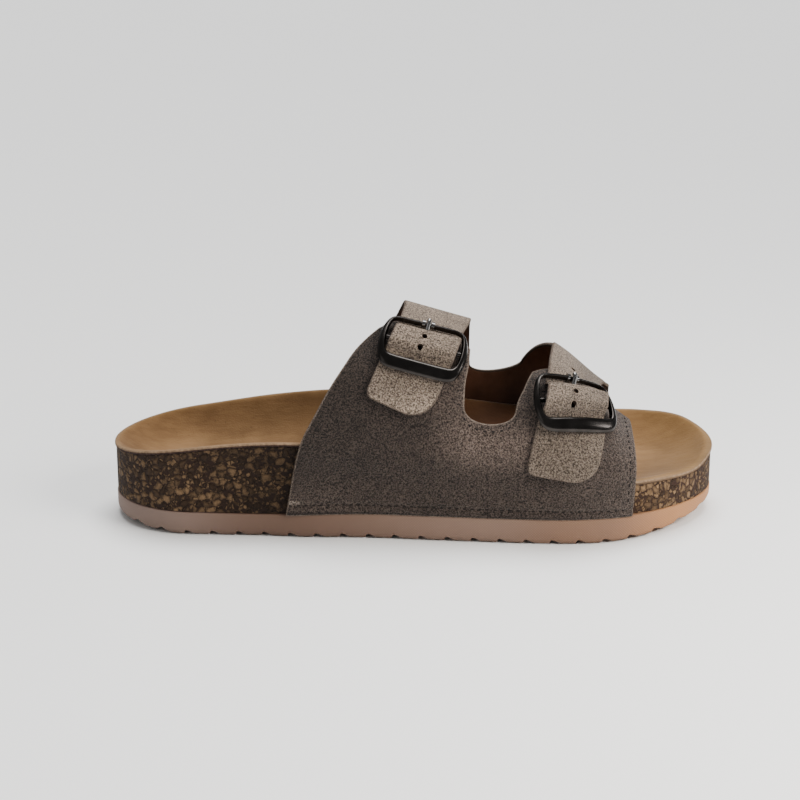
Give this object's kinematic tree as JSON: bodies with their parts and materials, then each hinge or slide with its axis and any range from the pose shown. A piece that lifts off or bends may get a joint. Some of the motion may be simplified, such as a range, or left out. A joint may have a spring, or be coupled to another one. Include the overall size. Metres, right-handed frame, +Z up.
{
  "type": "platform sandal",
  "caption": "Slip-on platform sandal with a moulded footbed on a cork block, a thick rippled sole and broad suede straps fastened by pin buckles.",
  "frame": {"origin": "on the floor, under the middle of the sandal's box", "axes": "+X from heel to toe, +Y towards the inner side of the foot, +Z up"},
  "size_m": [0.256, 0.0972, 0.0901],
  "materials": {
    "foam_rubber": "matte pale pink-beige foam rubber with fine hatching on its side",
    "cork": "pressed cork, dark brown with tan granules",
    "liner_suede": "tan suede, mottled, with a short nap",
    "strap_suede": "taupe-grey suede with a short nap and a dark lining",
    "buckle_metal": "dark gunmetal with bright edges"
  },
  "bodies": {
    "root": {"outsole": "foam_rubber", "cork_midsole": "cork", "footbed": "liner_suede", "upper": "strap_suede", "back_buckle_frame": "buckle_metal", "back_buckle_prong": "buckle_metal", "front_buckle_frame": "buckle_metal", "front_buckle_prong": "buckle_metal"}
  },
  "joints": []
}
